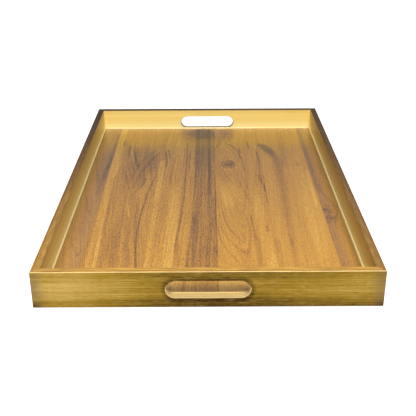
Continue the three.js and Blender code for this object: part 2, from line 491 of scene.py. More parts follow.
# %% Material: walnut
def walnut(name, tones, rings, shapes, grey=0.0, strength=1.0):
    """A shape is its kind, its change of tone and the numbers that its group takes."""
    material, g, shader = new_material(name, Coat_Weight=1.0, Coat_Roughness=0.2, Coat_IOR=1.55)
    place = g.place(place_group)
    across = place["X"]
    along = place["Y"]

    def draw(kind, numbers):
        group, sockets = SHAPES[kind]
        values = {socket.replace(" ", "_"): number for socket, number in zip(sockets, numbers)}
        return g.place(group, Across=across, Along=along, **values)

    changes = []
    for kind, depth, *numbers in shapes:
        drawn = draw(kind, numbers)
        if kind == "knot":
            across = drawn["Across"]
            changes.append((depth, drawn["Core"]))
            changes.append((0.5 * depth, drawn["Rings"]))
        else:
            changes.append((depth, drawn["Mask"]))
    level = draw("rings", rings)["Level"]
    seed = rings[-1]
    grain = g.place(grain_group, Across=level, Along=along, Other=seed, Line_width=1.5, Line_length=120.0)
    dashes = g.place(grain_group, Across=across, Along=along, Other=seed, Pore_width=0.9, Pore_length=6.0)

    off_back = g.fade(along, back_mm - 55.0, back_mm - 20.0, 1.0, 0.0)
    value = g.fade(along, front_mm, back_mm, *tones)
    # Painted light: the tone is lifted along the front strip, where the front wall shades the walnut.
    value = g.plus(value, g.fade(along, front_mm + 30.0, front_mm + 80.0, 0.26, 0.0))
    # Painted shade: the tone darkens next to the walls, but not at the back.
    value = g.lay(value, g.fade(place["Inwards"], inner_mm + 2.0, inner_mm + 13.0, -0.17, 0.0), off_back)
    for layer, share in ((grain["Lines"], 0.75), (grain["Streaks"], 0.36), (dashes["Flecks"], 0.45)):
        value = g.vary(value, layer, share * strength)
    value = g.lay(value, dashes["Pores"], -0.26 * strength)
    deeper = g.fade(along, 40.0, 200.0, 1.0, 1.6)
    for depth, mask in changes:
        value = g.lay(value, g.times(mask, deeper), depth)
    # Painted reflection of the bright back wall: the tone lifts just in front of it.
    value = g.plus(value, g.fade(along, back_mm - 45.0, back_mm - 15.0, 0.0, 0.12))

    wood = g.mix(grey, g.ramp(value, WALNUT_TONES), colour(142, 112, 88))
    # Painted reflection of the walls: olive gold is mixed in next to the walls and towards the back.
    painted_wall_reflection = g.times(g.fade(place["Inwards"], inner_mm + 2.0, inner_mm + 16.0, 0.55, 0.0), off_back)
    painted_wall_reflection = g.calc("MAXIMUM", painted_wall_reflection, g.fade(along, back_mm - 190.0, back_mm - 50.0, 0.0, 0.3))
    g.put(shader["Base Color"], g.mix(painted_wall_reflection, wood, colour(146, 112, 40)))
    g.put(shader["Roughness"], g.fade(value, 0.1, 0.9, 0.50, 0.38))
    add_bump(g, shader, g.minus(grain["Lines"], dashes["Pores"]), 0.03 * MM, 0.4)
    tell(material)
    return material


# %% [markdown]
# ## The far left leaf
# In the tables of the leaves, every shape starts with its change of tone, and the rest is in mm from the
# tray's middle. A streak gives where it starts and ends along the board, its place across at both ends, its
# bow, width, softness, wander and fading length. A patch or a knot gives its centre, across and along, and
# half its width and length.
#
# This outermost leaf is the greyest. Soft veins run along it towards the back, and a fork of fine lines lies
# near the front.

# %% The far left leaf
FRONT = -290
BACK = 290
walnut_materials = {}
walnut_materials["far_left"] = walnut("Walnut far left", (0.70, 0.52), (150, 5, 0.14, 0.0, 9, 1.3), (
    ("streak", -0.22, 60, 100, -162.5, -162, 0, 3, 3, 2, 20),
    ("streak", -0.20, 110, 250, -161, -160.5, 0, 2, 3, 3, 30),
    ("streak", -0.12, 0, 60, -164, -162, 0, 3, 4, 3, 20),
    ("streak", -0.16, -70, -25, -169, -177, 0, 1.5, 2, 2, 15),
    ("streak", -0.14, -198, -168, -165, -175, 0, 1.2, 1.6, 2, 6),
    ("streak", -0.14, -198, -176, -165, -158, 0, 1.2, 1.6, 2, 6),
    ("patch", -0.10, -168, 100, 12, 90, 0),
    ("patch", 0.10, -168, -200, 12, 70, 0),
), grey=0.40)

# %% [markdown]
# ## The left leaf
# The left leaf has the richest figure: a broad dark arch at the back with veins that fan out under it, a
# pale sap streak beside its left seam, and one long dark vein that swings from the front up to the arch.

# %% The left leaf
walnut_materials["left"] = walnut("Walnut left", (0.67, 0.62), (-66, 9, 0.05, 0.0, 14, 7.1), (
    ("streak", 0.16, FRONT, BACK, -143, -152, -3.5, 9, 3, 2, 20),
    ("streak", 0.12, 60, 120, -148, -144, 0, 3, 2, 2, 12),
    ("patch", -0.13, -110, 112, 27, 105, 0),
    ("patch", -0.18, -145.5, 213, 3.2, 22, 0),
    ("patch", 0.12, -139, 236, 3, 22, 0),
    ("streak", -0.16, 150, 192, -131, -133.5, -1, 3, 2.5, 1, 14),
    ("streak", 0.10, 130, 205, -123, -130, 0, 3, 3, 1, 20),
    ("streak", -0.14, 120, 200, -118, -127, 0, 1.6, 2, 1, 20),
    ("patch", -0.16, -111.5, 107, 3, 15, -0.08),
    ("patch", -0.10, -90, 120, 12, 62, 0),
    ("streak", -0.09, 20, 165, -112, -81, -6, 1.6, 3, 2, 12),
    ("streak", -0.05, 60, 185, -118, -86, -7, 1.6, 3, 2, 12),
    ("streak", -0.10, 90, 200, -112, -133, 2, 1.4, 2.8, 2, 12),
    ("streak", -0.20, 3, 52, -108.5, -97, 3, 1.2, 1.6, 2, 5),
    ("streak", -0.12, 3, 70, -118, -130, 1, 1.2, 2, 2, 8),
    ("streak", 0.10, -20, 12, -100, -100, 0, 9, 3, 2, 10),
    ("streak", -0.22, -100, 62, -94.8, -82, -2.2, 1.2, 1.4, 1.5, 6),
    ("streak", -0.24, FRONT, -106, -79, -94.8, -4.6, 1.4, 1.4, 1.0, 4),
    ("streak", -0.15, FRONT, -140, -127, -137.5, -1.5, 1.6, 2, 1, 20),
    ("streak", -0.12, -120, -10, -141, -143, 0, 1.6, 3, 5, 25),
    ("streak", 0.18, -80, -50, -111, -115, 0, 1.2, 1.6, 1, 8),
    ("patch", -0.08, -118, -150, 18, 90, 0),
), grey=0.06, strength=1.1)

# %% [markdown]
# ## The middle left leaf
# Here a pale band lies next to fine straight lines, and a dark brown band fills the right part of the leaf
# from front to back. Thin lines, darker still, run inside the band.

# %% The middle left leaf
walnut_materials["mid_left"] = walnut("Walnut mid left", (0.74, 0.60), (80, 5, -0.03, 0.0, 7, 3.7), (
    ("streak", 0.20, -20, 115, -74.5, -74, 0, 5, 3, 2, 20),
    ("streak", 0.10, FRONT, -40, -77, -75, 0, 3, 3, 2, 20),
    ("streak", -0.24, 105, 160, -67.5, -70, 1, 1.4, 1.6, 1, 15),
    ("streak", -0.14, 140, 175, -62, -66, 0, 2.4, 2, 1, 10),
    ("streak", 0.14, FRONT, -10, -49, -50, 0, 10, 6, 4, 60),
    ("streak", -0.18, -20, 205, -34.5, -34, 0, 1.2, 1.3, 2, 15),
    ("streak", -0.16, 55, 150, -29, -29.5, 0, 1.2, 1.3, 2, 20),
    ("streak", -0.20, -160, -25, -41.5, -35, 0, 1.1, 1.3, 1.5, 8),
    ("streak", -0.26, -190, -168, -42, -42.5, 0, 2.2, 1.6, 1, 6),
    ("streak", -0.16, FRONT, -200, -44.5, -42.5, 0, 1.2, 1.4, 1, 6),
    ("streak", -0.05, FRONT, 20, -33, -29, 0, 10, 4, 3, 60),
    ("streak", -0.17, FRONT, BACK, 5, 5, 0, 49, 3, 2, 10),
    ("streak", -0.14, FRONT, -100, -28, -18, 2, 6, 3, 2, 30),
    ("patch", -0.12, -10, 262, 34, 34, 0),
    ("streak", -0.12, -100, BACK, -21, -18, 1, 1.4, 1.6, 2, 10),
    ("streak", -0.12, FRONT, -115, -31, -22, 1, 1.4, 1.6, 2, 6),
    ("streak", -0.14, 0, BACK, 3, 3.5, 0, 3, 2, 2, 30),
    ("streak", -0.08, FRONT, BACK, -9.5, -9, 0, 1.2, 1.5, 3, 30),
    ("streak", -0.08, FRONT, BACK, -14.5, -14, 0, 1.2, 1.5, 3, 30),
    ("patch", -0.06, 0, -188, 16, 22, 0),
    ("streak", 0.12, 0, BACK, 8, 8.5, 0, 2.4, 2, 1, 30),
    ("streak", -0.12, FRONT, 60, 11.5, 11.5, 0, 1.2, 1.2, 0.5, 10),
), grey=0.05)

# %% [markdown]
# ## The middle right leaf
# A knot at the back pushes the grain aside, and nested arches lie in front of it. They are drawn one by one,
# because noise alone doesn't give lines that stay side by side.

# %% The middle right leaf
walnut_materials["mid_right"] = walnut("Walnut mid right", (0.76, 0.62), (50, 5, 0.07, 0.35, 8, 9.2), (
    ("knot", 0.0, 31, 140, 9, 45, 0.75),
    ("knot", -0.12, 33.5, 110, 6.5, 19, 0.6),
    ("patch", -0.12, 33.5, 110, 6, 20, 0),
    ("patch", -0.16, 34.5, 64, 2.4, 6, 0),
    ("patch", -0.10, 30.5, 58, 1.8, 5, 0),
    ("streak", -0.16, 145, 200, 54, 38, 2, 2.4, 2.6, 2, 12),
    ("streak", -0.12, 90, 140, 59, 56, 0, 2, 2.4, 2, 12),
    ("streak", -0.22, 165, 182, 55.5, 54, 0, 1.5, 1.6, 1, 6),
    ("streak", -0.22, 188, 212, 71.5, 70.5, 0, 1.6, 1.6, 1, 10),
    ("streak", -0.10, 165, 260, 13, 27, 2, 1.2, 1.6, 1, 10),
    ("streak", -0.10, 185, 265, 18, 33, 2, 1.2, 1.6, 1, 10),
    ("streak", -0.16, 60, 160, 82.5, 84, 2, 1.6, 1.8, 3, 15),
    ("streak", -0.16, 45, 130, 85, 92, 2, 1.8, 1.8, 2, 15),
    ("streak", -0.18, 0, 60, 88, 80.5, 0, 1.6, 1.6, 1, 12),
    ("streak", -0.22, -35, 30, 88, 88, 0, 1.8, 1.2, 0, 15),
    ("patch", 0.14, 32, -10, 13, 60, 0),
    ("streak", -0.10, -30, 60, 60, 46, 0, 1.4, 2, 5, 25),
    ("streak", -0.08, -30, 60, 66, 54, 0, 1.4, 2, 5, 25),
    ("streak", -0.14, -190, -80, 45, 16, -9, 1.4, 1.4, 1, 3),
    ("streak", -0.14, -165, -70, 48, 22, -7, 1.4, 1.4, 1, 3),
    ("streak", -0.12, -192, -100, 51.5, 55, 3, 1.4, 1.4, 1, 25),
    ("patch", -0.10, 48, -193, 5, 4, 0),
    ("streak", -0.14, -215, -120, 38, 14, -6, 1.2, 1.4, 1, 10),
    ("streak", -0.20, -150, -85, 63, 60.5, 0, 1.4, 1.6, 1, 12),
    ("streak", -0.12, -225, -155, 65, 63.5, 0, 4, 3, 1, 20),
    ("streak", -0.28, -130, -116, 80.5, 80.5, 0, 1.6, 1.4, 0, 5),
    ("streak", 0.10, FRONT, -40, 82, 72, 0, 8, 6, 2, 60),
), grey=0.02, strength=0.8)

# %% [markdown]
# ## The right leaf
# The calmest leaf: one soft dark streak bows along its left part, and the rest is pale and even.

# %% The right leaf
walnut_materials["right"] = walnut("Walnut right", (0.80, 0.64), (220, 5, -0.03, 0.0, 9, 5.5), (
    ("streak", -0.16, 115, 200, 116, 92, 6, 5, 9, 2, 22),
    ("patch", -0.13, 101, 182, 13, 34, -0.25),
    ("streak", -0.15, -80, 93, 111, 116, 1, 5, 8, 3, 22),
    ("streak", -0.13, FRONT, -102, 105, 111, 2, 3, 6, 3, 22),
    ("patch", -0.16, 110, -165, 3, 16, 0),
    ("patch", -0.10, 148, 110, 4, 14, 0),
    ("patch", 0.10, 148, -60, 17, 190, 0),
    ("streak", 0.12, -40, 70, 157, 159, 0, 3, 2, 1, 25),
    ("streak", -0.12, FRONT, -165, 91, 91, 0, 4, 3, 1, 20),
    ("streak", -0.08, 120, 250, 128, 131, 0, 4, 6, 2, 40),
), grey=0.06, strength=0.6)

# %% [markdown]
# ## The far right leaf
# The outermost leaf on the right is grey like its partner, with one knot near the wall.

# %% The far right leaf
walnut_materials["far_right"] = walnut("Walnut far right", (0.66, 0.52), (100, 5, 0.03, 0.0, 8, 2.9), (
    ("knot", -0.16, 171, -72, 7, 26, 0.6),
    ("patch", -0.28, 168.5, -65, 3, 7, 0),
    ("streak", -0.24, -88, -50, 176, 180, 3, 1.6, 1.8, 1, 8),
    ("patch", -0.20, 170, -95, 8, 14, 0),
    ("streak", -0.16, -45, 5, 180, 169, 0, 1.4, 1.8, 1, 10),
    ("streak", -0.14, 20, BACK, 167, 168, 0, 3, 3, 4, 30),
    ("streak", -0.10, FRONT, -120, 166, 167, 0, 3, 3, 3, 25),
    ("streak", 0.08, FRONT, BACK, 180, 182, 0, 6, 5, 3, 60),
), grey=0.34)

# %% [markdown]
# ## Brass-gold stain
# The walls look like brushed brass, but they are wood with a translucent stain. Outside, it is an olive gold
# with fine brushed streaks, rubbed thinner in places and left smoky along the ends and the lower edge. The
# rims are browner and darken towards the back. Inside, the stain is a thin, clear gold.

# %% Material: stained wall
stain, g, shader = new_material("Brass-gold stain", Specular_IOR_Level=0.08, Coat_Roughness=0.3)
place = g.place(place_group)
grain = g.place(
    grain_group, Across=place["Z"], Along=place["Along"], Other=g.over(place["Inwards"], 6.0),
    Line_width=0.9, Line_length=130.0, Pore_width=0.8, Pore_length=9.0)
g.put(shader["Roughness"], g.fade(grain["Lines"], 0.3, 0.7, 0.34, 0.50))
add_bump(g, shader, grain["Lines"], 0.06 * MM, 0.6)
tell(stain)

# %% [markdown]
# ## Outside of the walls
# The outside is darkest at the middle of a wall, where the hand slot is, and paler towards the ends. Long
# fine streaks run through it, with a few cloudy patches where the stain was wiped. Each layer of noise moves
# one tone up or down, and a row of colours turns the tone into stain.

# %% Stain: tone of the outside face
wall_point = (place["Z"], place["Along"], place["On long wall"])
cloud = g.noise(wall_point, (15.0, 38.0, 1), 3.0, 0.6)
wisps = g.noise(wall_point, (1.1, 16.0, 1), 3.0, 0.6)
ripple = g.noise(wall_point, (2.2, 3.4, 1), 2.0, 0.6)
darkest_place = 8.0
bottom_mm = wall_bottom / MM
to_the_left = g.minus(darkest_place, place["Along"])
value = g.fade(to_the_left, -185.0, 0.0, 0.47, 0.29)
value = g.plus(value, g.fade(to_the_left, 30.0, 178.0, 0.0, 0.34))
value = g.vary(value, grain["Lines"], 0.80)
value = g.vary(value, grain["Streaks"], 0.34)
value = g.vary(value, cloud, 0.22)
value = g.vary(value, ripple, g.fade(cloud, 0.4, 0.7, 0.0, 0.22))
value = g.lay(value, grain["Pores"], -0.10)
value = g.plus(value, g.fade(place["Z"], bottom_mm + 2.0, bottom_mm + 20.0, -0.22, 0.05))
value = g.plus(value, g.fade(place["Z"], rim_mm - 16.0, rim_mm - 6.0, 0.0, -0.10))
tell(stain)

# %% [markdown]
# ## Halo, haze and smoke
# The stain pooled in a dark halo around the slot. The halo needs the distance to the slot's outline, which is
# the distance to the line between the centres of its round ends, less the radius. The wiped patches are hazy,
# and the ends of a wall are smoky, with a burnt brown corner low down.

# %% Stain: outside face
past_straight = g.calc("MAXIMUM", g.minus(g.calc("ABSOLUTE", place["X"]), slot_straight / MM), 0.0)
off_slot = g.minus(place["Z"], slot_centre_z / MM)
from_slot = g.minus(g.calc("SQRT", g.squares(past_straight, off_slot)), (slot_radius + slot_rim) / MM)
halo = g.times(g.fade(from_slot, 0.0, 7.0, 1.0, 0.0), g.minus(1.0, place["On long wall"]))
value = g.lay(value, halo, -0.22)
outside_colour = g.ramp(value, (
    (0.00, colour(60, 38, 0)), (0.45, colour(149, 118, 34)), (1.00, colour(222, 188, 112))))
hazy = g.times(g.fade(wisps, 0.50, 0.72), g.fade(cloud, 0.35, 0.65, 0.1, 0.6))
outside_colour = g.mix(hazy, outside_colour, colour(172, 144, 90))
smoke = g.times(g.fade(place["From end"], 0.0, 22.0, 1.0, 0.0), g.fade(cloud, 0.25, 0.65, 0.3, 1.0))
outside_colour = g.mix(g.times(smoke, 0.75), outside_colour, colour(116, 94, 62))
burnt = g.times(g.fade(place["From end"], 1.0, 16.0, 1.0, 0.0), g.fade(place["Z"], 3.0, 14.0, 1.0, 0.0))
outside_colour = g.mix(g.times(burnt, 0.7), outside_colour, colour(66, 44, 26))
tell(stain)

# %% [markdown]
# ## Inside of the walls
# The inside was stained thinly, so it stays a clear gold. On the long walls a painted shade darkens it
# towards the rim, more so on the right one and less near the back, and a band of painted shade lies just
# under the rim of every wall.
# Low down, a painted bounce light from the floor makes the inside paler.

# %% Stain: inside face
value = g.vary(0.55, grain["Streaks"], 0.7)
value = g.vary(value, grain["Lines"], 0.35)
inside_colour = g.mix(value, colour(238, 197, 96), colour(255, 232, 144))
# Painted shade: the inside darkens towards the rim on the long walls, and in a band just under the rim on
# every wall.
low_tone = g.left_right(place["X"], 0.0, 0.17)
high_tone = g.left_right(place["X"], 0.38, 0.55)
painted_shade_inside = g.times(place["On long wall"], g.fade(place["Z"], 20.0, rim_mm - 4.0, low_tone, high_tone))
painted_shade_inside = g.times(painted_shade_inside, g.fade(place["Y"], back_mm - 90.0, back_mm - 10.0, 1.0, 0.6))
painted_shade_inside = g.plus(painted_shade_inside, g.fade(place["Z"], rim_mm - 10.0, rim_mm - 1.0, 0.0, 0.12))
inside_colour = g.mix(painted_shade_inside, inside_colour, colour(150, 104, 22))
# Painted bounce light from the floor: the lower part of the inside is paler.
painted_floor_bounce = g.fade(place["Z"], 18.0, 30.0, 0.55, 0.0)
inside_colour = g.mix(painted_floor_bounce, inside_colour, colour(255, 240, 170))
tell(stain)

# %% [markdown]
# ## Rim
# The rim is golden brown at the front and smoky at the back, with a dark line along it. Its outer corner is
# painted pale in broken stretches, most at the front: partly handling rubbed back to pale wood, partly a
# painted highlight along the rounded edge. Which recipe a point of the wall gets depends only on its height
# and on how far in from the outside it is.

# %% Stain: rim and worn corner
front_tone = g.times(place["On long wall"], g.left_right(place["X"], 0.14, 0.36))
back_tone = g.left_right(place["X"], 0.96, 0.88)
rim_colour = g.ramp(g.fade(place["Y"], front_mm, back_mm, front_tone, back_tone), (
    (0.0, colour(218, 167, 80)), (0.5, colour(150, 113, 66)), (1.0, colour(66, 56, 46))))
rim_grain = g.place(
    grain_group, Across=place["Inwards"], Along=place["Along"], Other=1.7, Line_width=0.9, Line_length=26.0)
rim_colour = g.mix(g.fade(rim_grain["Lines"], 0.35, 0.65, 0.55, 0.0), rim_colour, colour(70, 44, 20))
dark_line = g.fade(g.calc("ABSOLUTE", g.minus(place["Inwards"], 2.6)), 0.4, 1.4, 0.35, 0.0)
rim_colour = g.mix(dark_line, rim_colour, colour(112, 66, 20))

on_rim = g.fade(place["Z"], rim_mm - 1.0, rim_mm - 0.4)
is_inside = g.fade(place["Inwards"], inner_mm - 1.0, inner_mm - 0.4)
face_colour = g.mix(is_inside, outside_colour, inside_colour)
wall_colour = g.mix(on_rim, face_colour, rim_colour)
# Partly wear, partly painted highlight: the outer corner of the rim is painted pale in broken stretches, most
# at the front.
worn_edge_and_highlight = g.fade(place["Inwards"], 0.35, 0.8, 1.0, 0.0)
worn_edge_and_highlight = g.times(worn_edge_and_highlight, g.fade(place["Z"], rim_mm - 0.8, rim_mm - 0.45))
worn_edge_and_highlight = g.times(worn_edge_and_highlight, g.fade(place["Y"], front_mm, back_mm, 1.0, 0.25))
worn_edge_and_highlight = g.times(worn_edge_and_highlight, g.fade(cloud, 0.2, 0.6, 0.45, 0.9))
g.put(shader["Base Color"], g.mix(worn_edge_and_highlight, wall_colour, colour(232, 212, 152)))
g.put(shader["Coat Weight"], g.fade(g.calc("MAXIMUM", on_rim, is_inside), 0.0, 1.0, 0.0, 0.25))
tell(stain)

# %% [markdown]
# ## Raw wood in the hand slots
# The slots were cut after the walls were stained, so they show pale raw wood. The cutter leaves chatter marks
# across the round ends, and the grain shows as thin lines along the flat. The raw wood darkens next to the
# back wall's outer face. At the outer face a painted shade darkens the eased rim over the upper part of the
# slot, and a thin painted shade line runs where that rim meets the flat.

# %% Material: raw slot wood
raw_wood, g, shader = new_material("Raw slot wood", Roughness=0.62, Specular_IOR_Level=0.35)
place = g.place(place_group)
flat_grain = g.place(
    grain_group, Across=place["Y"], Along=place["X"], Other=g.over(place["Z"], 5.0),
    Line_width=1.0, Line_length=40.0)
in_end = g.fade(g.calc("ABSOLUTE", place["X"]), slot_straight / MM - 1.0, slot_straight / MM + 5.0)
chatter = g.noise((place["Z"], place["Y"], place["X"]), (0.8, 30.0, 0.8), 1.0)
marks = g.mix(in_end, flat_grain["Lines"], chatter)
raw_colour = g.mix(marks, colour(168, 134, 76), colour(222, 198, 136))
# The raw wood darkens next to the back wall's outer face.
darker_back_edge = g.fade(place["Y"], back_mm - 6.0, back_mm - 3.5)
raw_colour = g.mix(darker_back_edge, raw_colour, colour(96, 88, 56))
# Painted shade: the eased rim at the outer face is darkened over the upper part of the slot.
near_face = g.fade(place["Inwards"], 0.7, 1.7, 1.0, 0.0)
painted_shade_upper_rim = g.fade(place["Z"], slot_centre_z / MM + 2.0, slot_centre_z / MM + 8.0)
raw_colour = g.mix(g.times(near_face, painted_shade_upper_rim), raw_colour, colour(84, 62, 16))
# Painted shade: a thin dark line where the eased rim at the outer face meets the flat of the slot.
off_line = g.calc("ABSOLUTE", g.minus(place["Inwards"], slot_rim / MM + 0.6))
painted_shade_line = g.fade(off_line, 0.3, 0.9, 0.35, 0.0)
g.put(shader["Base Color"], g.mix(painted_shade_line, raw_colour, colour(150, 112, 52)))
add_bump(g, shader, marks, 0.08 * MM, 0.7)
tell(raw_wood)

# %% [markdown]
# ## Pale bead
# The bead is a thin pale moulding with a clear lacquer. Its lower edge is the lightest line inside the tray.
# Along the left wall, the stain of the wall has run down onto the upper part of it.

# %% Material: bead
bead_gold, g, shader = new_material("Pale gold bead", Roughness=0.32, Coat_Weight=0.6, Coat_Roughness=0.18)
place = g.place(place_group)
bead_grain = g.place(
    grain_group, Across=place["Inwards"], Along=place["Along"], Other=4.4, Line_width=1.2, Line_length=60.0)
bead_pale = g.mix(bead_grain["Lines"], colour(242, 202, 116), colour(255, 238, 170))
run_down = g.fade(place["Inwards"], inner_mm + 0.3, inner_mm + 1.1, 1.0, 0.0)
run_down = g.times(run_down, place["On long wall"])
run_down = g.times(run_down, g.left_right(place["X"], 0.6, 0.0))
g.put(shader["Base Color"], g.mix(run_down, bead_pale, colour(188, 146, 66)))
add_bump(g, shader, bead_grain["Lines"], 0.04 * MM, 0.5)
tell(bead_gold)

# %% [markdown]
# ## Plywood and backing veneer
# Under the walnut there are plain plywood and a balancing veneer. They still get the finish that one would
# find on taking the tray apart: the plywood's edge shows its layers, and the veneer is a plain brown wood.

# %% Materials: plywood and backing veneer
plywood, g, shader = new_material("Plywood", Roughness=0.7)
place = g.place(place_group)
ply = g.fade(g.calc("SINE", g.times(place["Z"], 2 * math.pi / 1.6)), -0.3, 0.3)
ply_grain = g.place(grain_group, Across=place["X"], Along=place["Y"], Other=place["Z"], Line_width=1.6)
ply_colour = g.mix(ply, colour(176, 138, 96), colour(214, 184, 140))
g.put(shader["Base Color"], g.mix(g.times(ply_grain["Lines"], 0.5), ply_colour, colour(150, 112, 74)))
add_bump(g, shader, ply_grain["Lines"], 0.08 * MM, 0.5)
tell(plywood)

backing, g, shader = new_material("Backing veneer", Roughness=0.55, Coat_Weight=0.15, Coat_Roughness=0.4)
place = g.place(place_group)
veneer_grain = g.place(
    grain_group, Across=place["X"], Along=place["Y"], Other=8.8, Line_width=2.0, Line_length=140.0)
veneer_tone = g.lay(g.times(veneer_grain["Lines"], 0.3), veneer_grain["Streaks"], 0.8)
veneer_colour = g.mix(veneer_tone, colour(112, 80, 46), colour(186, 144, 90))
g.put(shader["Base Color"], g.mix(veneer_grain["Pores"], veneer_colour, colour(84, 58, 34)))
add_bump(g, shader, veneer_grain["Lines"], 0.06 * MM, 0.5)
tell(backing)

# %% [markdown]
# ## Beech and felt
# The mitres are held by loose tongues of beech, and the tray stands on felt pads. Felt is a matt, dark cloth,
# so it gets fine noise in all directions and a little sheen.

# %% Materials: beech and felt
beech, g, shader = new_material("Beech spline", Roughness=0.6)
place = g.place(place_group)
beech_grain = g.place(
    grain_group, Across=place["X"], Along=place["Z"], Other=place["Y"], Line_width=0.8, Line_length=12.0)
g.put(shader["Base Color"], g.mix(beech_grain["Lines"], colour(196, 158, 112), colour(232, 204, 160)))
add_bump(g, shader, beech_grain["Pores"], 0.05 * MM, 0.5)
tell(beech)

felt, g, shader = new_material("Felt", Roughness=0.95, Sheen_Weight=0.5, Specular_IOR_Level=0.2)
place = g.place(place_group)
fibre = 0.35
fuzz = g.noise((place["X"], place["Y"], place["Z"]), (fibre, fibre, fibre), 3.0, 0.7)
g.put(shader["Base Color"], g.mix(fuzz, colour(44, 36, 30), colour(92, 78, 66)))
add_bump(g, shader, fuzz, 0.25 * MM, 0.8)
tell(felt)

# %% [markdown]
# ## From mesh to piece
# Each fine piece takes the place of one imported solid, so it says which one it replaces and which materials
# it takes; every piece rides on the root body. Flat faces keep their flat shading: the weighted normals
# follow the large faces, and the small rounded edges blend into them.

# %% Finish a piece
SHARP_ANGLE = math.radians(40)


def smooth(piece):
    piece.data.shade_smooth()
    piece.data.set_sharp_from_angle(angle=SHARP_ANGLE)
    weighted = piece.modifiers.new("Flat faces stay flat", "WEIGHTED_NORMAL")
    weighted.keep_sharp = True
    weighted.weight = 100


def make_piece(name, mesh_maker, materials, node):
    """Turns a mesh in the making into the piece that replaces that node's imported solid."""
    mesh = bpy.data.meshes.new(name)
    bmesh.ops.recalc_face_normals(mesh_maker, faces=mesh_maker.faces)
    mesh_maker.to_mesh(mesh)
    mesh_maker.free()
    for material in materials:
        mesh.materials.append(material)
    piece = bpy.data.objects.new(name, mesh)
    bpy.context.collection.objects.link(piece)
    smooth(piece)
    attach(piece, "root")
    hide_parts(node)
    print(name, "faces:", len(mesh.polygons))


# %% [markdown]
# ## A mitred bar
# Walls and beads are bars: one section, run along a side of the tray, with both ends cut at 45 degrees. No
# saw is needed, because a point of the section that lies further inwards simply ends sooner. A bar is made as
# the front one and then turned about the tray's middle.

# %% Sections and mitred bars
def arc(centre, radii, start, end, steps=8):
    """Points of an arc, from start to end in quarter turns."""
    points = []
    for step in range(steps + 1):
        angle = (start + (end - start) * step / steps) * QUARTER_TURN
        points.append((centre[0] + radii[0] * math.cos(angle), centre[1] + radii[1] * math.sin(angle)))
    return points


def join_rings(maker, rings):
    """Faces between each ring of corners and the next one, and a lid at both ends."""
    count = len(rings[0])
    for first, second in zip(rings, rings[1:]):
        for index in range(count):
            after = (index + 1) % count
            maker.faces.new((first[index], first[after], second[after], second[index]))
    maker.faces.new(rings[0])
    maker.faces.new(rings[-1])


def turn(maker, quarter_turns):
    matrix = Matrix.Rotation(quarter_turns * QUARTER_TURN, 3, "Z")
    bmesh.ops.rotate(maker, verts=maker.verts, matrix=matrix)


def mitred_bar(section, length, outside, turns):
    """section holds (inwards, height). outside is the distance from the tray's middle to the bar's face."""
    maker = bmesh.new()
    rings = []
    for end in (-1, 1):
        ring = []
        for inwards, height in section:
            reach = length / 2 - inwards - mitre_gap
            ring.append(maker.verts.new((end * reach, inwards - outside, height)))
        rings.append(ring)
    join_rings(maker, rings)
    turn(maker, turns)
    return maker


SIDES = (
    ("front", 2 * half_width, half_depth, 0),
    ("right", 2 * half_depth, half_width, 1),
    ("back", 2 * half_width, half_depth, 2),
    ("left", 2 * half_depth, half_width, 3),
)
print("sides:", [side for side, *_ in SIDES])

# %% [markdown]
# ## Section of a wall
# A wall's section has a groove for the floor panel, and its four long edges are eased by sandpaper: more on
# the outside of the rim, where hands rub it, and less inside.

# %% Wall section
outer_ease = 1.2 * MM
inner_ease = 0.8 * MM
bottom_ease = 0.8 * MM
groove_depth = wall_thick / 2
groove_slack = 0.15 * MM
groove_low = panel_bottom - groove_slack
groove_high = floor_z + groove_slack

ease_z = wall_bottom + bottom_ease
wall_section = arc((bottom_ease, ease_z), (bottom_ease, bottom_ease), 2, 3)
wall_section += arc((wall_thick - bottom_ease, ease_z), (bottom_ease, bottom_ease), 3, 4)
wall_section += [(wall_thick, groove_low), (wall_thick - groove_depth, groove_low)]
wall_section += [(wall_thick - groove_depth, groove_high), (wall_thick, groove_high)]
wall_section += arc((wall_thick - inner_ease, rim_z - inner_ease), (inner_ease, inner_ease), 0, 1)
wall_section += arc((outer_ease, rim_z - outer_ease), (outer_ease, outer_ease), 1, 2)
print("corners of the wall's section:", len(wall_section))

# %% [markdown]
# ## Cutter for the hand slot
# The cutter is a stack of stadium outlines: straight through the wall, and flaring at both faces, which
# leaves a rounded rim. The rim is eased more at the round ends than along the flat edges.

# %% Slot cutter
past_wall = 4 * MM
flare_steps = 8
flat_share = 0.45
cutter_levels = [(-past_wall, slot_rim)]
for step in range(flare_steps + 1):
    angle = step / flare_steps * QUARTER_TURN
    cutter_levels.append((slot_rim * (1 - math.cos(angle)), slot_rim * (1 - math.sin(angle))))
cutter_levels += [(wall_thick - depth, widening) for depth, widening in reversed(cutter_levels)]
print("outlines in the slot cutter:", len(cutter_levels))


def stadium_ring(maker, widening, y, steps=24):
    ring = []
    for end in (1, -1):
        for step in range(steps + 1):
            angle = (-0.5 + step / steps) * math.pi
            x = end * (slot_straight + (slot_radius + widening) * math.cos(angle))
            z = slot_centre_z + end * (slot_radius + flat_share * widening) * math.sin(angle)
            ring.append(maker.verts.new((x, y, z)))
    return ring


def slot_cutter(outside, turns):
    maker = bmesh.new()
    join_rings(maker, [stadium_ring(maker, widening, depth - outside) for depth, widening in cutter_levels])
    turn(maker, turns)
    return maker


# %% [markdown]
# ## Cutting the slot
# An exact boolean takes the cutter away from the wall. Only its result is kept: it is read back into a mesh
# in the making, and both helper bodies are removed. The fresh faces of the cut are raw wood, so they get the
# wall's second material.

# %% Cut a slot
def helper_body(maker):
    mesh = bpy.data.meshes.new("body")
    bmesh.ops.recalc_face_normals(maker, faces=maker.faces)
    maker.to_mesh(mesh)
    maker.free()
    body = bpy.data.objects.new("body", mesh)
    bpy.context.collection.objects.link(body)
    return body


def remove_body(body):
    mesh = body.data
    bpy.data.objects.remove(body)
    bpy.data.meshes.remove(mesh)


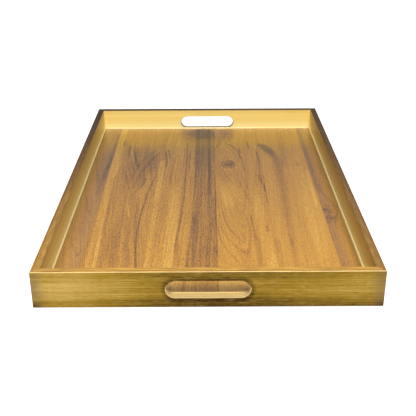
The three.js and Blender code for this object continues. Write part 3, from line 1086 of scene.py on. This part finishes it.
def cut_slot(maker, outside, turns):
    """The wall's mesh with the slot cut out. The faces of the cut get the second material."""
    wall = helper_body(maker)
    cutter = helper_body(slot_cutter(outside, turns))
    cut = wall.modifiers.new("Slot", "BOOLEAN")
    cut.operation = "DIFFERENCE"
    cut.solver = "EXACT"
    cut.object = cutter
    result = bmesh.new()
    result.from_object(wall, bpy.context.evaluated_depsgraph_get())
    for face in result.faces:
        middle = face.calc_center_median()
        off_faces = 0.02 * MM < outside - abs(middle.y) < wall_thick - 0.02 * MM
        looks_sideways = abs(face.normal.y) < 0.98
        if off_faces and looks_sideways and near_slot(middle.x, middle.z, 3 * MM):
            face.material_index = 1
    remove_body(wall)
    remove_body(cutter)
    return result


# %% [markdown]
# ## Walls
# All four walls are the same bar in two lengths. The two short ones then lose their hand slot.

# %% Walls
for side, length, outside, turns in SIDES:
    wall_maker = mitred_bar(wall_section, length, outside, turns)
    if side in ("front", "back"):
        wall_maker = cut_slot(wall_maker, outside, turns)
    make_piece(f"Wall_{side}", wall_maker, [stain, raw_wood], f"{side}_wall")

# %% [markdown]
# ## Beads
# The bead's section is a quarter round with a short foot. It stands in the corner of floor and wall, and it
# is mitred like the walls.

# %% Beads
bead_back = bead_low.y + half_depth
bead_width = bead_high.y - bead_low.y
bead_foot = 0.6 * MM
bead_height = bead_high.z - bead_low.z
bead_section = [(bead_back, bead_low.z), (bead_back + bead_width, bead_low.z)]
bead_section += arc((bead_back, bead_low.z + bead_foot), (bead_width, bead_height - bead_foot), 0, 1, 12)

for side, length, outside, turns in SIDES:
    bead_maker = mitred_bar(bead_section, length, outside, turns)
    make_piece(f"Bead_{side}", bead_maker, [bead_gold], f"{side}_bead")

# %% [markdown]
# ## Floor leaves
# A leaf is a thin board with just enough easing at its edges for the seams to show as hairlines. A box with a
# small bevel does that.

# %% Leaves
leaf_ease = 0.06 * MM


def eased_board(low, high, ease):
    maker = bmesh.new()
    bmesh.ops.create_cube(maker, size=1.0)
    bmesh.ops.scale(maker, verts=maker.verts, vec=high - low)
    bmesh.ops.translate(maker, verts=maker.verts, vec=(low + high) / 2)
    bmesh.ops.bevel(maker, geom=maker.edges[:], offset=ease, segments=2, profile=0.5, affect="EDGES")
    return maker


for leaf_name, material in walnut_materials.items():
    node = f"walnut_leaf_{leaf_name}"
    leaf_maker = eased_board(*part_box(node), leaf_ease)
    make_piece(f"Leaf_{leaf_name}", leaf_maker, [material], node)

# %% [markdown]
# ## Felt pads
# The pads are felt discs with a soft edge. A disc is four rings of points, one above the other, of which the
# lowest and the highest are a little smaller.

# %% Pads
pad_steps = 40
pad_soft = 0.3 * MM


def round_pad(low, high):
    middle = (low + high) / 2
    radius = (high.x - low.x) / 2
    inner = radius - pad_soft
    profile = ((inner, low.z), (radius, low.z + pad_soft), (radius, high.z - pad_soft), (inner, high.z))
    maker = bmesh.new()
    rings = []
    for ring_radius, height in profile:
        ring = []
        for step in range(pad_steps):
            angle = step / pad_steps * 2 * math.pi
            x = middle.x + ring_radius * math.cos(angle)
            y = middle.y + ring_radius * math.sin(angle)
            ring.append(maker.verts.new((x, y, height)))
        rings.append(ring)
    join_rings(maker, rings)
    return maker


for end in ("front", "back"):
    for side in ("left", "right"):
        node = f"{end}_{side}_felt_pad"
        make_piece(f"Pad_{end}_{side}", round_pad(*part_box(node)), [felt], node)

# %% [markdown]
# ## Hidden pieces
# The panel's core, its backing veneer and the corner splines are plain flat boards, so they keep their packed
# solids and only get their finish.

# %% Core, backing veneer and splines
kept_solids = [("plywood_core", plywood, "plywood"), ("backing_veneer", backing, "backing_veneer")]
for end in ("front", "back"):
    for side in ("left", "right"):
        kept_solids.append((f"{end}_{side}_corner_spline", beech, "beech_spline"))
for node, material, slot_name in kept_solids:
    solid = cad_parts[node]
    for material_slot in solid.material_slots:
        material_slot.material = material
print("kept solids:", [node for node, _, _ in kept_solids])

# %% [markdown]
# ## Floor
# The tray stands on a plain, almost white floor. The floor glows a little when it is seen directly, so it
# stays white where the light fades, and the glow doesn't light the tray.

# %% Studio floor
WHITE = (1.0, 1.0, 1.0, 1.0)
PALE_GREY = (0.8, 0.8, 0.8, 1.0)
floor_reach = 9.0
below_tray = 0.1 * MM
floor_mesh = bpy.data.meshes.new("Studio_floor")
floor_maker = bmesh.new()
bmesh.ops.create_grid(floor_maker, x_segments=2, y_segments=2, size=floor_reach)
bmesh.ops.translate(floor_maker, verts=floor_maker.verts, vec=(0.0, 0.0, cad_low.z - below_tray))
floor_maker.to_mesh(floor_mesh)
floor_maker.free()
floor = bpy.data.objects.new("Studio_floor", floor_mesh)
bpy.context.collection.objects.link(floor)
floor_paint, g, shader = new_material("Studio floor", Roughness=0.9, Specular_IOR_Level=0.1)
shader["Base Color"].default_value = PALE_GREY
shader["Emission Color"].default_value = WHITE
seen_directly = g.node("ShaderNodeLightPath").outputs["Is Camera Ray"]
floor_glow = 0.8
g.put(shader["Emission Strength"], g.times(seen_directly, floor_glow))
floor_mesh.materials.append(floor_paint)
tell(floor_paint)

# %% [markdown]
# ## Light
# A wide soft light stands above and in front, with a weak one behind, under a dim sky. The light in front
# reaches the inside of the back wall fully and fades across the walnut. Like the floor, the sky is white only
# when it is seen directly.

# %% Lights and sky
def soft_light(name, place, size, power):
    """A square light that faces the tray's middle."""
    data = bpy.data.lights.new(name, "AREA")
    data.shape = "SQUARE"
    data.size = size
    data.energy = power
    lamp = bpy.data.objects.new(name, data)
    bpy.context.collection.objects.link(lamp)
    lamp.location = place
    lamp.rotation_mode = "QUATERNION"
    lamp.rotation_quaternion = (-Vector(place)).to_track_quat("-Z", "Y")
    print(name, "power in watts:", power)


soft_light("Key light", (0.05, -1.1, 1.3), 0.9, 34.0)
soft_light("Back light", (0.0, 2.6, 1.5), 3.0, 5.0)

world = bpy.data.worlds.new("Studio")
world.use_nodes = True
g = Graph(world.node_tree)
sky = world.node_tree.nodes["Background"].inputs
sky["Color"].default_value = WHITE
seen_directly = g.node("ShaderNodeLightPath").outputs["Is Camera Ray"]
sky_light = 0.14
sky_glow = 0.9
g.put(sky["Strength"], g.lay(sky_light, seen_directly, sky_glow))
bpy.context.scene.world = world
bpy.context.scene.view_settings.view_transform = "Standard"
